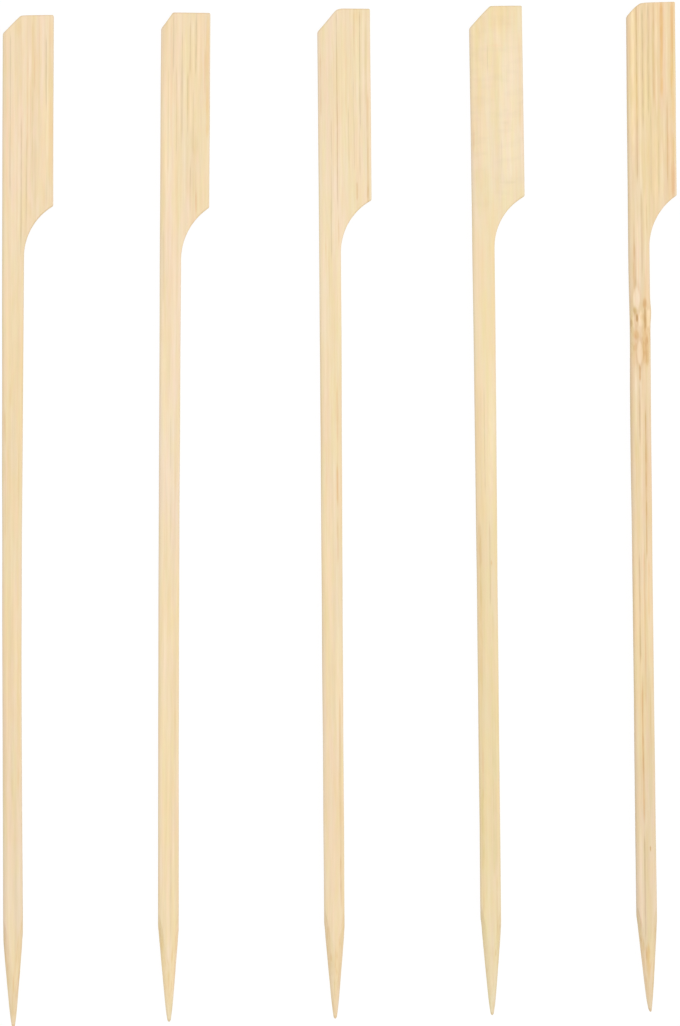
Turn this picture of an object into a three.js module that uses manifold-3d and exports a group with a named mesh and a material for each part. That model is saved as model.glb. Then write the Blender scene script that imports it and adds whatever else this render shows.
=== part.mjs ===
// Five flat bamboo paddle skewers, laid side by side on their broad faces.
//
// Each skewer is one strip of split bamboo and has no joints or fastenings of its own.
// A strip is planed to an even thickness and keeps one straight back edge. The other
// side is milled away to a slim shaft, which leaves a broad grip at the top, and the
// end of the shaft is ground to a round point on a wheel. The strips bend a little to
// one side as they dry, each in its own way.
//
// Units are millimetres. +X runs across the row, +Y runs along the skewers from point
// to grip, and +Z points up from the table. The origin is the middle of the whole row,
// on the table.

import * as THREE from "three";
import { mergeVertices } from "three/addons/utils/BufferGeometryUtils.js";
import Module from "manifold-3d";

// The strip.
const LENGTH = 180.0; // from the end of the point to the top of the grip
const THICKNESS = 3.0; // planed thickness
const EDGE_ROUND = 0.25; // radius of the tumbled edges

// The grip and the hollow below it.
const GRIP_WIDTH = 9.1; // across the grip
const GRIP_LENGTH = 34.3; // down the free side, from the top to the hollow
const CORNER_ACROSS = 3.0; // the cut corner at the top of the back edge, across the grip
const CORNER_ALONG = 3.45; // the same cut, along the back edge
const NOTCH_RADIUS = 10.7; // the hollow curve from the grip down to the shaft

// The shaft.
const NECK_WIDTH = 3.85; // where it leaves the hollow
const SHAFT_WIDTH = 3.64; // where the point begins

// The ground point, measured back from its very end.
const NOSE_RADIUS = 0.46; // the blunt end that is left on the point
const CONE_LENGTH = 14.4; // the long slim cone
const CONE_END_RADIUS = 1.65; // radius where the cone ends
const RUN_OUT_LENGTH = 6.2; // the hollow where the wheel leaves the corners
const RUN_OUT_SLOPE = 0.05; // how steeply that hollow begins
const RUN_OUT_CLEARANCE = 0.1; // how far the wheel has left the corners at its end

// The row.
const ROW_PITCH = 28.2; // from one skewer to the next
const ROW_CREEP = 0.7; // how much further up each one lies than the one before

// How finely the shapes are divided.
const BACK_STEPS = 16; // along the back edge
const GRIP_STEPS = 4; // along the grip's free side
const NOTCH_STEPS = 16; // around the hollow below the grip
const SHAFT_STEPS = 12; // along the shaft's free side
const EDGE_STEPS = 2; // around the tumbled edges
const NOSE_STEPS = 3; // around the blunt end
const RUN_OUT_STEPS = 4; // along the wheel's hollow
const POINT_SIDES = 40; // around the point

// The five skewers. They are cut and ground by hand, so each one differs a little.
//   cut       each size as a share of the size above
//   aside     how far the end of the point lies off the middle, in shaft widths
//   lean      how far the point was held askew on the wheel, in degrees
//   bow       how far the middle bends towards the free side, in skewer lengths
//   across    where it lies across the row, in pitches from the middle skewer
//   along     where it lies along the row, in creeps from the middle skewer
//   turn      how far it lies turned, anticlockwise, in degrees
const SKEWERS = [
  {
    name: "skewer_1",
    cut: {
      length: 1.002,
      gripWidth: 0.995,
      gripLength: 0.991,
      cornerAcross: 1.067,
      cornerAlong: 0.957,
      notchRadius: 0.981,
      neckWidth: 1.0,
      shaftWidth: 0.962,
    },
    aside: -0.014,
    lean: 0.0,
    bow: -0.0011,
    across: -2.029,
    along: -2.29,
    turn: 0.05,
    colour: 0xf0d9b2,
  },
  {
    name: "skewer_2",
    cut: {
      length: 0.999,
      gripWidth: 0.962,
      gripLength: 1.009,
      cornerAcross: 0.7,
      cornerAlong: 0.812,
      notchRadius: 1.047,
      neckWidth: 0.974,
      shaftWidth: 1.011,
    },
    aside: 0.033,
    lean: 0.3,
    bow: -0.0007,
    across: -1.054,
    along: -1.0,
    turn: -0.18,
    colour: 0xf2dbb6,
  },
  {
    name: "skewer_3",
    cut: {
      length: 0.998,
      gripWidth: 1.036,
      gripLength: 0.988,
      cornerAcross: 1.15,
      cornerAlong: 1.13,
      notchRadius: 0.981,
      neckWidth: 1.013,
      shaftWidth: 0.997,
    },
    aside: 0.014,
    lean: 0.0,
    bow: 0.0003,
    across: 0.0,
    along: 0.0,
    turn: 0.44,
    colour: 0xf1dab4,
  },
  {
    name: "skewer_4",
    cut: {
      length: 1.0,
      gripWidth: 1.038,
      gripLength: 0.994,
      cornerAcross: 1.25,
      cornerAlong: 1.188,
      notchRadius: 0.963,
      neckWidth: 1.031,
      shaftWidth: 1.003,
    },
    aside: 0.027,
    lean: 0.0,
    bow: 0.0007,
    across: 0.99,
    along: 0.71,
    turn: 0.72,
    colour: 0xefdab1,
  },
  {
    name: "skewer_5",
    cut: {
      length: 1.002,
      gripWidth: 0.956,
      gripLength: 1.02,
      cornerAcross: 0.867,
      cornerAlong: 0.899,
      notchRadius: 1.019,
      neckWidth: 0.982,
      shaftWidth: 1.022,
    },
    aside: 0.099,
    lean: 1.0,
    bow: -0.0008,
    across: 1.976,
    along: 1.71,
    turn: 0.65,
    colour: 0xecd3aa,
  },
];

const BAMBOO_ROUGHNESS = 0.68;
const BAMBOO_METALNESS = 0.0;

const wasm = await Module();
wasm.setup();

/** One skewer's own sizes, in millimetres. */
function sizesOf({ cut, aside, bow }) {
  const shaftWidth = SHAFT_WIDTH * cut.shaftWidth;
  const length = LENGTH * cut.length;
  return {
    length,
    gripWidth: GRIP_WIDTH * cut.gripWidth,
    gripLength: GRIP_LENGTH * cut.gripLength,
    cornerAcross: CORNER_ACROSS * cut.cornerAcross,
    cornerAlong: CORNER_ALONG * cut.cornerAlong,
    notchRadius: NOTCH_RADIUS * cut.notchRadius,
    neckWidth: NECK_WIDTH * cut.neckWidth,
    shaftWidth,
    pointAside: shaftWidth * aside,
    bow: length * bow,
  };
}

/** Points on a straight line, without the first one. */
function stepsAlong(from, to, count) {
  const points = [];
  for (let i = 1; i <= count; i += 1) {
    points.push(new THREE.Vector2().lerpVectors(from, to, i / count));
  }
  return points;
}

/** The hollow below the grip, from the grip's corner down to the neck. */
function notchPoints({ length, gripWidth, gripLength, neckWidth, notchRadius }) {
  const step = gripWidth - neckWidth;
  const reach = Math.sqrt(notchRadius ** 2 - (notchRadius - step) ** 2);
  const centre = new THREE.Vector2(neckWidth + notchRadius, length - gripLength - reach);
  const topAngle = Math.atan2(reach, gripWidth - centre.x);
  const points = [];
  for (let i = 0; i <= NOTCH_STEPS; i += 1) {
    const angle = THREE.MathUtils.lerp(topAngle, Math.PI, i / NOTCH_STEPS);
    const spoke = new THREE.Vector2(Math.cos(angle), Math.sin(angle));
    points.push(spoke.multiplyScalar(notchRadius).add(centre));
  }
  return points;
}

/** The strip seen from above: back edge on x = 0, point at y = 0, grip at the top. */
function stripOutline(sizes) {
  const { length, gripWidth, cornerAcross, cornerAlong, shaftWidth, bow } = sizes;
  const belowPoint = -NOSE_RADIUS;
  const backFoot = new THREE.Vector2(0, belowPoint);
  const backTop = new THREE.Vector2(0, length - cornerAlong);
  const gripTop = new THREE.Vector2(gripWidth, length);
  const notch = notchPoints(sizes);
  const neck = notch[notch.length - 1];
  const shaftFoot = new THREE.Vector2(shaftWidth, belowPoint);

  const straight = [
    backFoot,
    ...stepsAlong(backFoot, backTop, BACK_STEPS),
    new THREE.Vector2(cornerAcross, length),
    gripTop,
    ...stepsAlong(gripTop, notch[0], GRIP_STEPS),
    ...notch.slice(1),
    ...stepsAlong(neck, shaftFoot, SHAFT_STEPS),
  ];
  const bent = straight.map(({ x, y }) => {
    const along = y / length;
    return new THREE.Vector2(x + 4 * bow * along * (1 - along), y);
  });
  return new THREE.Shape(bent);
}

/** The planed strip with its tumbled edges, lying on z = 0, before its point is ground. */
function stripGeometry(sizes) {
  const geometry = new THREE.ExtrudeGeometry(stripOutline(sizes), {
    depth: THICKNESS - 2 * EDGE_ROUND,
    bevelEnabled: true,
    bevelThickness: EDGE_ROUND,
    bevelSize: EDGE_ROUND,
    bevelOffset: -EDGE_ROUND,
    bevelSegments: EDGE_STEPS,
  });
  geometry.translate(0, 0, EDGE_ROUND);
  return geometry;
}

/** All that the grinding wheel leaves: a round point below, and free room above it. */
function groundEnvelope({ length, gripLength, shaftWidth, pointAside }, lean) {
  const cornerX = shaftWidth / 2 + Math.abs(pointAside);
  const runOutRadius = Math.hypot(cornerX, THICKNESS / 2) + RUN_OUT_CLEARANCE;
  const runOutRise = runOutRadius - CONE_END_RADIUS;
  const roomRadius = gripLength;
  const roomTop = length + gripLength;

  const profile = [new THREE.Vector2(0, 0)];
  for (let i = 1; i <= NOSE_STEPS; i += 1) {
    const angle = ((i / NOSE_STEPS) * Math.PI) / 2;
    const out = NOSE_RADIUS * Math.sin(angle);
    profile.push(new THREE.Vector2(out, NOSE_RADIUS * (1 - Math.cos(angle))));
  }
  profile.push(new THREE.Vector2(CONE_END_RADIUS, CONE_LENGTH));
  for (let i = 1; i <= RUN_OUT_STEPS; i += 1) {
    const share = i / RUN_OUT_STEPS;
    const even = RUN_OUT_SLOPE * RUN_OUT_LENGTH * share;
    const curved = (runOutRise - RUN_OUT_SLOPE * RUN_OUT_LENGTH) * share ** 2;
    const radius = CONE_END_RADIUS + even + curved;
    profile.push(new THREE.Vector2(radius, CONE_LENGTH + RUN_OUT_LENGTH * share));
  }
  profile.push(new THREE.Vector2(roomRadius, CONE_LENGTH + RUN_OUT_LENGTH));
  profile.push(new THREE.Vector2(roomRadius, roomTop));
  profile.push(new THREE.Vector2(0, roomTop));

  const geometry = new THREE.LatheGeometry(profile, POINT_SIDES);
  geometry.rotateZ(THREE.MathUtils.degToRad(lean));
  geometry.translate(shaftWidth / 2 + pointAside, 0, THICKNESS / 2);
  return geometry;
}

/** A closed solid from a closed geometry, with its shared vertices merged. */
function solidFrom(geometry) {
  const bare = geometry.clone();
  bare.deleteAttribute("normal");
  bare.deleteAttribute("uv");
  const merged = mergeVertices(bare);
  const corners = merged.index.array;
  const kept = [];
  for (let i = 0; i < corners.length; i += 3) {
    const [a, b, c] = [corners[i], corners[i + 1], corners[i + 2]];
    if (a !== b && b !== c && c !== a) {
      kept.push(a, b, c);
    }
  }
  return new wasm.Manifold(
    new wasm.Mesh({
      numProp: 3,
      vertProperties: Float32Array.from(merged.attributes.position.array),
      triVerts: Uint32Array.from(kept),
    }),
  );
}

/** A drawable geometry from a solid. */
function geometryFrom(solid) {
  const { vertProperties, triVerts } = solid.getMesh();
  const geometry = new THREE.BufferGeometry();
  geometry.setAttribute("position", new THREE.BufferAttribute(vertProperties, 3));
  geometry.setIndex(new THREE.BufferAttribute(triVerts, 1));
  geometry.computeVertexNormals();
  return geometry;
}

/** One skewer, ground and laid in its place in the row. */
function makeSkewer(skewer) {
  const sizes = sizesOf(skewer);
  const blank = solidFrom(stripGeometry(sizes));
  const ground = blank.intersect(solidFrom(groundEnvelope(sizes, skewer.lean)));
  const material = new THREE.MeshStandardMaterial({
    color: skewer.colour,
    roughness: BAMBOO_ROUGHNESS,
    metalness: BAMBOO_METALNESS,
  });
  const mesh = new THREE.Mesh(geometryFrom(ground), material);
  mesh.name = skewer.name;
  mesh.position.set(ROW_PITCH * skewer.across, ROW_CREEP * skewer.along, 0);
  mesh.rotation.z = THREE.MathUtils.degToRad(skewer.turn);
  return mesh;
}

/** The row of skewers, moved so that its middle stands over the origin. */
function makeRow() {
  const row = new THREE.Group();
  for (const skewer of SKEWERS) {
    row.add(makeSkewer(skewer));
  }
  row.updateMatrixWorld(true);
  const middle = new THREE.Box3().setFromObject(row, true).getCenter(new THREE.Vector3());
  row.position.set(-middle.x, -middle.y, 0);
  return row;
}

const set = new THREE.Group();
set.add(makeRow());

export default set;
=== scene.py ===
"""Five flat bamboo paddle skewers, laid side by side on white and seen from straight above.

Each skewer is one strip of split bamboo. It is planed, its shaft is milled free of the grip, its edges are
tumbled and its end is ground to a round point. The strips are modelled here one by one, in metres, and laid
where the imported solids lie. What shows on a surface is counted in millimetres from the strip's own back
corner: x across from the back edge, y along from the point and z up from the underside.
"""

import logging
import math
from collections.abc import Callable, Sequence
from dataclasses import dataclass, field, fields
from enum import Enum
from functools import cached_property, reduce
from typing import Any

import bmesh
import bpy
from mathutils import Matrix, Vector, noise


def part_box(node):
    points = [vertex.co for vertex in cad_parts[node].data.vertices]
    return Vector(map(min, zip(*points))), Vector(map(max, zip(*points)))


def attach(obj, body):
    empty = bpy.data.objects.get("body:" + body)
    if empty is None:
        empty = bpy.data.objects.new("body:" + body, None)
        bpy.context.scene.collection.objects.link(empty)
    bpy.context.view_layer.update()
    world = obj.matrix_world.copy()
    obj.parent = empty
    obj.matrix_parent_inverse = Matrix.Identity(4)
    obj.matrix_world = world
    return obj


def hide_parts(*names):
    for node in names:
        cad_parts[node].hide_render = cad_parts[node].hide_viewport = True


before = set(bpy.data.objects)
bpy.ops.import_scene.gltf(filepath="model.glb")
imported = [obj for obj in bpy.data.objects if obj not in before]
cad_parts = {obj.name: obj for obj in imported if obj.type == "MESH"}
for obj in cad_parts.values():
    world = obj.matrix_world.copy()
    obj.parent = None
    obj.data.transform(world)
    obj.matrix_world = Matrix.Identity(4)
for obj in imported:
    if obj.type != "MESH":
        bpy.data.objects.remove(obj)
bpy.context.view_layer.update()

log = logging.getLogger("skewers")

Socket = bpy.types.NodeSocket
Feed = float | Sequence[float] | Socket
Colour = tuple[float, float, float, float]

MM = 0.001
WHITE = (1.0, 1.0, 1.0, 1.0)


def linear(digits: str) -> Colour:
    """A colour as the renderer wants it.

    Args:
        digits: The colour as six sRGB hex digits.

    Returns:
        Linear red, green and blue, with an alpha of 1.
    """
    shares = [int(digits[i : i + 2], 16) / 255 for i in (0, 2, 4)]
    light = [c / 12.92 if c <= 0.04045 else ((c + 0.055) / 1.055) ** 2.4 for c in shares]
    return (*light, 1.0)


def grey(level: float) -> Colour:
    """A grey as linear red, green and blue, with an alpha of 1."""
    return (level, level, level, 1.0)


def share_between(value: float, low: float, high: float) -> float:
    """How far a value has come from one end of a range to the other, kept between 0 and 1."""
    return min(1.0, max(0.0, (value - low) / (high - low)))


class Graph:
    """A node tree, with short ways to add nodes and join them."""

    def __init__(self, tree: bpy.types.NodeTree) -> None:
        """Work on the given tree."""
        self.tree = tree

    def add(self, kind: str, *values: Feed, **settings: Any) -> bpy.types.Node:
        """Add a node.

        Args:
            kind: Blender's name for the kind of node.
            *values: What its first inputs get, in order.
            **settings: The node's own properties.

        Returns:
            The new node.
        """
        node = self.tree.nodes.new(kind)
        for name, value in settings.items():
            setattr(node, name, value)
        for socket, value in zip(node.inputs, values):
            self.feed(socket, value)
        return node

    def feed(self, socket: Socket, value: Feed) -> None:
        """Join a socket to an input, or write a plain value on the input.

        Args:
            socket: The input.
            value: What it gets.
        """
        if isinstance(value, bpy.types.NodeSocket):
            self.tree.links.new(value, socket)
        else:
            socket.default_value = value

    def math(self, operation: str, *values: Feed) -> Socket:
        """A number worked out by the Math node's operation."""
        return self.add("ShaderNodeMath", *values, operation=operation).outputs[0]

    def times(self, *values: Feed) -> Socket:
        """The product of some numbers."""
        return reduce(lambda one, other: self.math("MULTIPLY", one, other), values)

    def vector(self, operation: str, *values: Feed) -> Socket:
        """A vector worked out by the Vector Math node's operation."""
        return self.add("ShaderNodeVectorMath", *values, operation=operation).outputs[0]

    def split(self, vector: Feed) -> tuple[Socket, ...]:
        """A vector's three numbers, each as a socket."""
        return tuple(self.add("ShaderNodeSeparateXYZ", vector).outputs)

    def join(self, *numbers: Feed) -> Socket:
        """A vector's socket from three numbers."""
        return self.add("ShaderNodeCombineXYZ", *numbers).outputs[0]

    def rise(self, value: Feed, low: Feed, high: Feed, to: tuple[Feed, Feed] = (0.0, 1.0)) -> Socket:
        """A smooth step from one end of a range to the other.

        Args:
            value: What is measured.
            low: Where the step begins. It may lie above high, and the step then falls.
            high: Where the step ends.
            to: The values at the two ends.

        Returns:
            The result's socket.
        """
        node = self.add("ShaderNodeMapRange", interpolation_type="SMOOTHSTEP")
        names = ("Value", "From Min", "From Max", "To Min", "To Max")
        for name, number in zip(names, (value, low, high, *to)):
            self.feed(node.inputs[name], number)
        return node.outputs["Result"]

    def tint(self, share: Feed, under: Feed, over: Feed, way: str = "MULTIPLY") -> Socket:
        """Lay one colour over another.

        Args:
            share: How much of the upper colour is laid on, from 0 to 1.
            under: The colour below.
            over: The colour above.
            way: The Mix node's blend type.

        Returns:
            The mixed colour's socket.
        """
        node = self.add("ShaderNodeMix", data_type="RGBA", blend_type=way)
        sockets = {socket.identifier: socket for socket in node.inputs}
        for name, value in zip(("Factor_Float", "A_Color", "B_Color"), (share, under, over)):
            self.feed(sockets[name], value)
        return next(socket for socket in node.outputs if socket.identifier == "Result_Color")

    def noise(
        self, place: Feed, lump: Feed, seed: Feed, detail: float = 1.0, colour: bool = False
    ) -> Socket:
        """Soft noise.

        Args:
            place: The place.
            lump: How long a lump of the noise is across, along and through the strip.
            seed: A number that picks the pattern.
            detail: How many finer layers lie over the first one.
            colour: Whether three patterns are wanted as a colour, and not one as a number.

        Returns:
            The pattern's socket, around a half.
        """
        node = self.add("ShaderNodeTexNoise", noise_dimensions="4D")
        inputs = {"Vector": self.vector("DIVIDE", place, lump), "W": seed, "Scale": 1.0}
        inputs |= {"Detail": detail, "Roughness": 0.5}
        for name, value in inputs.items():
            self.feed(node.inputs[name], value)
        return node.outputs["Color" if colour else "Fac"]

    def place(self, group: bpy.types.NodeTree, **inputs: Feed) -> bpy.types.Node:
        """Place a node group.

        Args:
            group: The group's tree.
            **inputs: Its inputs by name, in lower case with underscores.

        Returns:
            The group's node.
        """
        node = self.add("ShaderNodeGroup", node_tree=group)
        for name, value in inputs.items():
            self.feed(node.inputs[name.replace("_", " ").capitalize()], value)
        return node


def cleared(block: bpy.types.Material | bpy.types.World) -> Graph:
    """Give a material or a world an empty node tree.

    Args:
        block: The material or the world.

    Returns:
        Its nodes, to work on.
    """
    block.use_nodes = True
    block.node_tree.nodes.clear()
    return Graph(block.node_tree)


class Group(Graph):
    """A shader node group with named inputs and outputs."""

    def __init__(self, name: str, inputs: dict[str, Any], outputs: dict[str, Any]) -> None:
        """Make an empty group.

        Args:
            name: The group's name.
            inputs: Each input's first value by its name: a number, a vector of three or a colour of four.
            outputs: The same for the outputs.
        """
        super().__init__(bpy.data.node_groups.new(name, "ShaderNodeTree"))
        kinds = {1: "NodeSocketFloat", 3: "NodeSocketVector", 4: "NodeSocketColor"}
        for side, sockets in (("INPUT", inputs), ("OUTPUT", outputs)):
            for label, value in sockets.items():
                size = len(value) if isinstance(value, tuple) else 1
                socket = self.tree.interface.new_socket(name=label, in_out=side, socket_type=kinds[size])
                socket.default_value = value
        self.entry = self.add("NodeGroupInput").outputs
        self.exit = self.add("NodeGroupOutput").inputs

    def close(self, **outputs: Feed) -> bpy.types.NodeTree:
        """Feed the group's outputs.

        Args:
            **outputs: What each output gets, by its name in lower case.

        Returns:
            The finished group's tree.
        """
        for name, value in outputs.items():
            self.feed(self.exit[name.capitalize()], value)
        return self.tree


class Effects:
    """The effects that the bamboo finishes share. Each is a node group, built when it is first placed.

    A pattern's lump is how far it reaches across, along and through the strip, in millimetres. Its range is
    the stretch of the noise over which it comes in.
    """

    PLACE = (0.0, 0.0, 0.0)
    DRIFT_LUMP = (2.5, 17.0, 2.5)
    FINER_FIBRES = (2.6, 6.0, 2.6)
    PATCH_LUMP = (0.5, 3.0, 0.5)
    SHORT_FIBRE_LUMP = (0.32, 3.4, 0.32)
    CLOUD_LUMP = (0.7, 2.0, 0.7)
    FINE_FIBRE_LUMP = (0.16, 7.0, 0.16)
    SCRATCH_LUMP = (1.8, 0.10, 1.8)
    SAW_LUMP = (2.0, 0.6, 0.11)

    TONE_RANGE = (0.28, 0.72)
    PATCH_RANGE = (0.2, 0.6)
    SHORT_FIBRE_RANGE = (0.5, 0.72)
    CLOUD_RANGE = (0.3, 0.7)
    FINE_FIBRE_RANGE = (0.3, 0.7)
    FAINT_TO_FULL = (0.45, 1.0)
    CLEAR_TO_CLOUDY = (0.55, 1.0)

    NOISE_MIDDLE = (0.5, 0.5, 0.5)
    SIDEWAYS = (4.0, 0.0, 4.0)
    BROAD_SHARE = 0.62
    BUNDLE_CORE = 0.45
    STREAK_TAPER = 0.7
    STREAK_CORE = 0.3
    LENS_POWER = 1.6
    LENS_INSIDE = (1.5, 0.25)
    RIM_BEGINS = (0.6, 1.1)
    RIM_ENDS = (2.6, 1.0)

    GROUND_TONE = (1.0, 0.985, 0.94, 1.0)
    SHORT_FIBRE_TONE = (0.94, 0.88, 0.78, 1.0)
    SAWN_TONE = (0.90, 0.85, 0.77, 1.0)
    BUNDLE_END_TONE = (0.62, 0.46, 0.30, 1.0)

    FIBRE_HEIGHT = 0.0040
    BUNDLE_HEIGHT = -0.0020
    SCRATCH_HEIGHT = 0.0030
    SAW_HEIGHT = 0.0080
    SMOOTH_TO_DULL = (0.60, 0.72)
    GROUND_FUZZ = 0.05
    SAWN_FUZZ = 0.12

    @cached_property
    def straighten(self) -> bpy.types.NodeTree:
        """Takes the strip's bow out of a place, so that the fibres bend with the strip."""
        inputs = {"Place": self.PLACE, "Length": 180.0, "Bow": 0.0}
        g = Group("Straighten strip", inputs, {"Place": self.PLACE})
        x, y, z = g.split(g.entry["Place"])
        share = g.math("DIVIDE", y, g.entry["Length"])
        bend = g.times(share, g.math("SUBTRACT", 1.0, share), 4.0, g.entry["Bow"])
        return g.close(place=g.join(g.math("SUBTRACT", x, bend), y, z))

    @cached_property
    def wander(self) -> bpy.types.NodeTree:
        """Moves a place a little sideways, so that no fibre is ruled straight."""
        inputs = {"Place": self.PLACE, "Reach": 0.1, "Seed": 0.0}
        g = Group("Wandering fibres", inputs, {"Place": self.PLACE})
        place, reach, seed = (g.entry[name] for name in inputs)
        slow = g.noise(place, self.DRIFT_LUMP, seed, colour=True)
        drift = g.vector("SUBTRACT", slow, self.NOISE_MIDDLE)
        sideways = g.vector("MULTIPLY", drift, self.SIDEWAYS)
        return g.close(place=g.vector("ADD", place, g.vector("MULTIPLY", sideways, reach)))

    @cached_property
    def fibre_tone(self) -> bpy.types.NodeTree:
        """Soft light and dark bands along the fibres, with finer and shorter ones inside them."""
        inputs = {"Place": self.PLACE, "Width": 0.6, "Length": 30.0, "Seed": 0.0}
        g = Group("Fibre tone", inputs, {"Tone": 0.5})
        place, width, length, seed = (g.entry[name] for name in inputs)
        grain = g.join(width, length, width)
        broad = g.noise(place, grain, seed)
        fine = g.noise(place, g.vector("DIVIDE", grain, self.FINER_FIBRES), seed)
        both = g.math("ADD", g.times(broad, self.BROAD_SHARE), g.times(fine, 1 - self.BROAD_SHARE))
        return g.close(tone=g.rise(both, *self.TONE_RANGE))

    @cached_property
    def bundles(self) -> bpy.types.NodeTree:
        """The stringy bundles in bamboo: long thin lines on its faces, and dots where it is cut across."""
        inputs = {"Place": self.PLACE, "Spacing": 0.8, "Thickness": 0.2, "Length": 40.0}
        g = Group("Fibre bundles", inputs, {"Mask": 0.0})
        place, spacing, thickness, length = (g.entry[name] for name in inputs)
        cells = g.add("ShaderNodeTexVoronoi", voronoi_dimensions="3D", feature="F1")
        g.feed(cells.inputs["Vector"], g.vector("DIVIDE", place, g.join(spacing, length, spacing)))
        g.feed(cells.inputs["Scale"], 1.0)
        core = g.times(thickness, self.BUNDLE_CORE)
        return g.close(mask=g.rise(cells.outputs["Distance"], thickness, core))

    @cached_property
    def spot(self) -> bpy.types.NodeTree:
        """Where a point lies, for the marks, and how strongly they show there: patchily, near the top."""
        inputs = {"Place": self.PLACE, "Depth": 1.6, "Top": 3.0, "Seed": 0.0}
        g = Group("Spot on the strip", inputs, {"Across": 0.0, "Along": 0.0, "Presence": 1.0})
        x, y, z = g.split(g.entry["Place"])
        patchy = g.noise(g.entry["Place"], self.PATCH_LUMP, g.entry["Seed"])
        near_top = g.rise(g.math("SUBTRACT", g.entry["Top"], z), g.entry["Depth"], 0.0)
        presence = g.times(near_top, g.rise(patchy, *self.PATCH_RANGE, to=self.FAINT_TO_FULL))
        return g.close(across=x, along=y, presence=presence)

    @cached_property
    def streak(self) -> bpy.types.NodeTree:
        """One streak that lies along the fibres and fades out at both ends."""
        inputs = {"Across": 0.0, "Along": 0.0, "Presence": 1.0, "Middle": 2.0, "Half width": 0.2}
        inputs |= {"Start": 0.0, "End": 10.0, "Fade": 1.5, "Strength": 0.5}
        g = Group("Fibre streak", inputs, {"Mask": 0.0})
        x, y, presence, middle, half_width, start, end, fade, strength = (g.entry[name] for name in inputs)
        begins = g.rise(y, g.math("SUBTRACT", start, fade), g.math("ADD", start, fade))
        ends = g.rise(y, g.math("ADD", end, fade), g.math("SUBTRACT", end, fade))
        length = g.times(begins, ends)
        taper = g.math("MULTIPLY_ADD", length, self.STREAK_TAPER, 1 - self.STREAK_TAPER)
        edge = g.times(half_width, taper)
        off = g.math("ABSOLUTE", g.math("SUBTRACT", x, middle))
        width = g.rise(off, edge, g.times(edge, self.STREAK_CORE))
        return g.close(mask=g.times(length, width, g.times(presence, strength)))

    @cached_property
    def lens(self) -> bpy.types.NodeTree:
        """A pointed oval, as fibres leave round a scar: its inside, and the line around it."""
        inputs = {"Across": 0.0, "Along": 0.0, "Middle": 2.0, "Centre": 10.0}
        inputs |= {"Half width": 0.4, "Half length": 1.5}
        g = Group("Fibre lens", inputs, {"Inside": 0.0, "Rim": 0.0})
        reaches = []
        for spot, centre, half in (("Across", "Middle", "Half width"), ("Along", "Centre", "Half length")):
            off = g.math("ABSOLUTE", g.math("SUBTRACT", g.entry[spot], g.entry[centre]))
            reaches.append(g.math("POWER", g.math("DIVIDE", off, g.entry[half]), self.LENS_POWER))
        reach = g.math("ADD", *reaches)
        rim = g.times(g.rise(reach, *self.RIM_BEGINS), g.rise(reach, *self.RIM_ENDS))
        return g.close(inside=g.rise(reach, *self.LENS_INSIDE), rim=rim)

    @cached_property
    def ground_wood(self) -> bpy.types.NodeTree:
        """Wood that the wheel has cut at a slant: a little darker and warmer, with short brown fibres."""
        inputs = {"Colour": WHITE, "Place": self.PLACE, "Ground": 0.0, "Seed": 0.0}
        g = Group("Ground wood", inputs, {"Colour": WHITE})
        colour, place, ground, seed = (g.entry[name] for name in inputs)
        short = g.noise(place, self.SHORT_FIBRE_LUMP, seed)
        fibres = g.times(g.rise(short, *self.SHORT_FIBRE_RANGE), ground)
        worn = g.tint(ground, colour, self.GROUND_TONE)
        return g.close(colour=g.tint(fibres, worn, self.SHORT_FIBRE_TONE))

    @cached_property
    def cut_wood(self) -> bpy.types.NodeTree:
        """Wood that is sawn or milled across its fibres: darker, with the bundles' ends as brown dots."""
        inputs = {"Colour": WHITE, "Place": self.PLACE, "Cut": 0.0, "Bundles": 0.0, "Seed": 0.0}
        g = Group("Cut wood", inputs, {"Colour": WHITE})
        colour, place, cut, bundles, seed = (g.entry[name] for name in inputs)
        cloud = g.noise(place, self.CLOUD_LUMP, seed, detail=2.0)
        shade = g.times(cut, g.rise(cloud, *self.CLOUD_RANGE, to=self.CLEAR_TO_CLOUDY))
        sawn = g.tint(shade, colour, self.SAWN_TONE)
        return g.close(colour=g.tint(g.times(cut, bundles), sawn, self.BUNDLE_END_TONE))

    @cached_property
    def touch(self) -> bpy.types.NodeTree:
        """How the surface feels: its fine height in millimetres, and its roughness."""
        inputs = {"Place": self.PLACE, "Bundles": 0.0, "Ground": 0.0, "Cut": 0.0, "Seed": 0.0}
        g = Group("Touch of the wood", inputs, {"Height": 0.0, "Roughness": 0.7})
        place, bundles, ground, cut, seed = (g.entry[name] for name in inputs)
        fibres = g.noise(place, self.FINE_FIBRE_LUMP, seed, detail=2.0)
        scratches = g.noise(place, self.SCRATCH_LUMP, seed)
        saw = g.noise(place, self.SAW_LUMP, seed)
        planed = g.math("MULTIPLY_ADD", bundles, self.BUNDLE_HEIGHT, g.times(fibres, self.FIBRE_HEIGHT))
        scratched = g.times(scratches, ground, self.SCRATCH_HEIGHT)
        sawn = g.times(saw, cut, self.SAW_HEIGHT)
        height = g.math("ADD", planed, g.math("ADD", scratched, sawn))
        fuzzy = g.math("MAXIMUM", g.times(ground, self.GROUND_FUZZ), g.times(cut, self.SAWN_FUZZ))
        dull = g.rise(fibres, *self.FINE_FIBRE_RANGE, to=self.SMOOTH_TO_DULL)
        return g.close(height=height, roughness=g.math("ADD", dull, fuzzy))


EFFECTS = Effects()


class Tint(Enum):
    """What a mark does to the wood under it, as a share of its red, green and blue light."""

    BROWN = (0.80, 0.66, 0.48, 1.0)
    RUST = (0.93, 0.80, 0.68, 1.0)
    ORANGE = (0.95, 0.84, 0.62, 1.0)
    SHADE = (0.80, 0.75, 0.68, 1.0)
    OLIVE = (0.90, 0.90, 0.76, 1.0)
    GREY = (0.80, 0.79, 0.74, 1.0)
    ROSE = (1.00, 0.94, 0.93, 1.0)
    PALE = (1.08, 1.10, 1.15, 1.0)


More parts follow.
